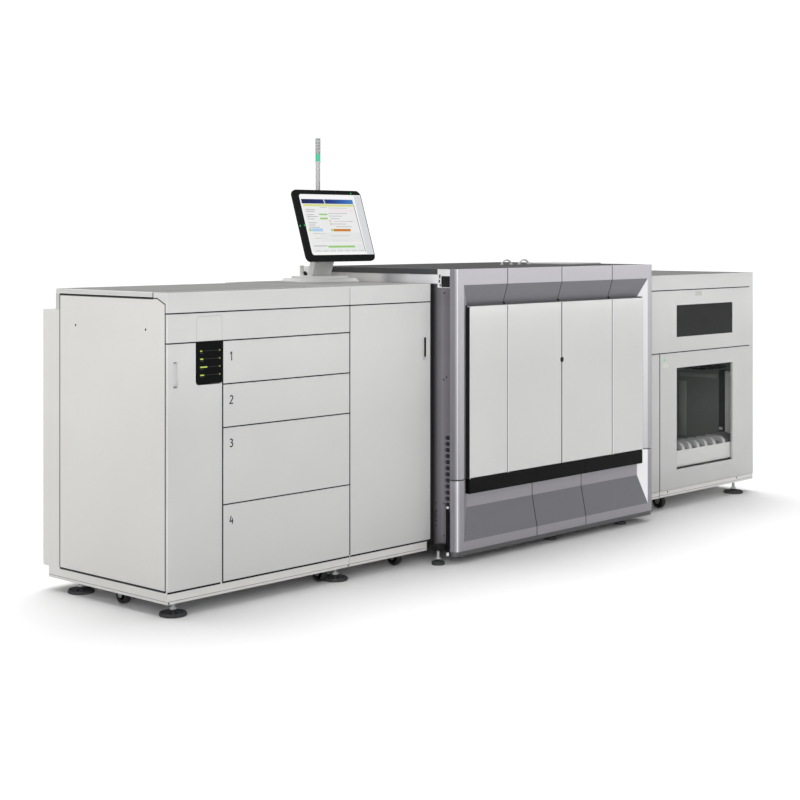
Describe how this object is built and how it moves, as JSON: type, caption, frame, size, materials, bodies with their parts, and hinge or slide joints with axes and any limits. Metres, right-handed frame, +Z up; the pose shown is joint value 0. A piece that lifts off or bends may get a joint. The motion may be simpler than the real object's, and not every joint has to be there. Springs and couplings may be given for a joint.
{
  "type": "digital production printer",
  "caption": "Floor-standing cut-sheet production printer line: drawer input module, print engine with double doors, stacker with window, touch screen and signal tower.",
  "frame": {"origin": "on the floor under the middle of the whole line", "axes": "+X along the line from the paper input to the stacker, +Y from the front to the back, +Z up"},
  "size_m": [3.935, 0.914, 1.777],
  "materials": {
    "input_side_left": "smooth warm light grey powder coat",
    "input_walls": "satin light grey paint",
    "input_back_box": "smooth warm light grey powder coat",
    "input_decks": "galvanised sheet steel",
    "input_runners": "galvanised sheet steel",
    "input_head": "satin light grey paint",
    "input_fronts": "smooth light grey powder coat",
    "input_lid": "satin mid grey paint",
    "input_door": "smooth light grey powder coat",
    "indicator_panel": "gloss black plastic",
    "drawer_1": "smooth light grey powder coat",
    "drawer_2": "smooth light grey powder coat",
    "drawer_3": "smooth light grey powder coat",
    "drawer_4": "smooth light grey powder coat",
    "transfer_cabinet": "satin light grey paint",
    "transfer_cap": "satin mid grey paint",
    "transfer_door": "smooth light grey powder coat",
    "engine_sides": "dark metallic grey paint",
    "engine_core": "dark metallic grey paint",
    "engine_bay": "dark metallic grey paint",
    "engine_inner_covers": "satin light grey paint",
    "engine_brackets": "white moulded plastic",
    "engine_outriggers": "black paint",
    "engine_crown": "satin light grey paint",
    "engine_top": "matt charcoal paint",
    "top_hatch": "satin light grey paint",
    "top_handles": "dark grey painted steel",
    "engine_frame_upper": "satin anodised aluminium",
    "engine_frame_lower": "satin anodised aluminium",
    "engine_sill": "matt dark grey paint",
    "engine_slopes": "satin dark grey paint",
    "engine_band": "gloss black plastic",
    "engine_door_left": "smooth light grey powder coat",
    "engine_door_right": "smooth light grey powder coat",
    "stacker_walls": "satin light grey paint",
    "stacker_decks": "satin mid grey paint",
    "stacker_fronts": "smooth light grey powder coat",
    "stacker_upper_pane": "dark tinted glass",
    "stacker_door": "smooth light grey powder coat",
    "stacker_door_pane": "grey tinted glass",
    "stacker_lining": "dark grey green paint",
    "stacker_rack": "light grey paint",
    "stacker_fins": "white plastic",
    "console_stand": "satin grey paint",
    "monitor": "satin black plastic",
    "monitor_glass": "clear front glass over a lit display",
    "signal_tower": "light grey pole with lamp segments",
    "plinths": "satin light grey paint",
    "docking_plates": "zinc plated steel",
    "levelling_feet": "black moulded pads on plated screws",
    "caster_forks": "zinc plated steel",
    "caster_wheels": "black rubber"
  },
  "bodies": {
    "machine": {"input_side_left": "input_side_left", "input_walls": "input_walls", "input_back_box": "input_back_box", "input_decks": "input_decks", "input_runners": "input_runners", "input_head": "input_head", "input_fronts": "input_fronts", "input_lid": "input_lid", "indicator_panel": "indicator_panel", "transfer_cabinet": "transfer_cabinet", "transfer_cap": "transfer_cap", "engine_sides": "engine_sides", "engine_core": "engine_core", "engine_bay": "engine_bay", "engine_inner_covers": "engine_inner_covers", "engine_brackets": "engine_brackets", "engine_outriggers": "engine_outriggers", "engine_crown": "engine_crown", "engine_top": "engine_top", "top_hatch": "top_hatch", "top_handles": "top_handles", "engine_frame_upper": "engine_frame_upper", "engine_frame_lower": "engine_frame_lower", "engine_sill": "engine_sill", "engine_slopes": "engine_slopes", "engine_band": "engine_band", "stacker_walls": "stacker_walls", "stacker_decks": "stacker_decks", "stacker_fronts": "stacker_fronts", "stacker_upper_pane": "stacker_upper_pane", "stacker_lining": "stacker_lining", "stacker_rack": "stacker_rack", "stacker_fins": "stacker_fins", "console_stand": "console_stand", "signal_tower": "signal_tower", "plinths": "plinths", "docking_plates": "docking_plates", "levelling_feet": "levelling_feet", "caster_forks": "caster_forks", "caster_wheels": "caster_wheels"},
    "drawer_1": {"drawer_1": "drawer_1"},
    "drawer_2": {"drawer_2": "drawer_2"},
    "drawer_3": {"drawer_3": "drawer_3"},
    "drawer_4": {"drawer_4": "drawer_4"},
    "input_door": {"input_door": "input_door"},
    "transfer_door": {"transfer_door": "transfer_door"},
    "engine_door_left": {"engine_door_left": "engine_door_left"},
    "engine_door_right": {"engine_door_right": "engine_door_right"},
    "stacker_door": {"stacker_door": "stacker_door", "stacker_door_pane": "stacker_door_pane"},
    "screen": {"monitor": "monitor", "monitor_glass": "monitor_glass"}
  },
  "joints": [
    {"name": "drawer_1_slide", "type": "slide", "parent": "machine", "child": "drawer_1", "axis": [0, -1, 0], "range_m": [0, 0.48]},
    {"name": "drawer_2_slide", "type": "slide", "parent": "machine", "child": "drawer_2", "axis": [0, -1, 0], "range_m": [0, 0.48]},
    {"name": "drawer_3_slide", "type": "slide", "parent": "machine", "child": "drawer_3", "axis": [0, -1, 0], "range_m": [0, 0.48]},
    {"name": "drawer_4_slide", "type": "slide", "parent": "machine", "child": "drawer_4", "axis": [0, -1, 0], "range_m": [0, 0.48]},
    {"name": "input_door_hinge", "type": "hinge", "parent": "machine", "child": "input_door", "pos_m": [-1.717, -0.325, 0.53], "axis": [0, 0, 1], "range_deg": [0, 88]},
    {"name": "transfer_door_hinge", "type": "hinge", "parent": "machine", "child": "transfer_door", "pos_m": [-1.0485, -0.325, 0.582], "axis": [0, 0, 1], "range_deg": [-88, 0]},
    {"name": "engine_door_left_hinge", "type": "hinge", "parent": "machine", "child": "engine_door_left", "pos_m": [-0.4765, -0.454, 0.7], "axis": [0, 0, 1], "range_deg": [-110, 0]},
    {"name": "engine_door_right_hinge", "type": "hinge", "parent": "machine", "child": "engine_door_right", "pos_m": [0.7635, -0.454, 0.7], "axis": [0, 0, 1], "range_deg": [0, 110]},
    {"name": "stacker_door_hinge", "type": "hinge", "parent": "machine", "child": "stacker_door", "pos_m": [1.9645, -0.325, 0.43], "axis": [0, 0, 1], "range_deg": [0, 110]},
    {"name": "screen_tilt", "type": "hinge", "parent": "machine", "child": "screen", "pos_m": [-0.6795, 0.18309, 1.31342], "axis": [-1, 0, 0], "range_deg": [-10, 15]}
  ]
}
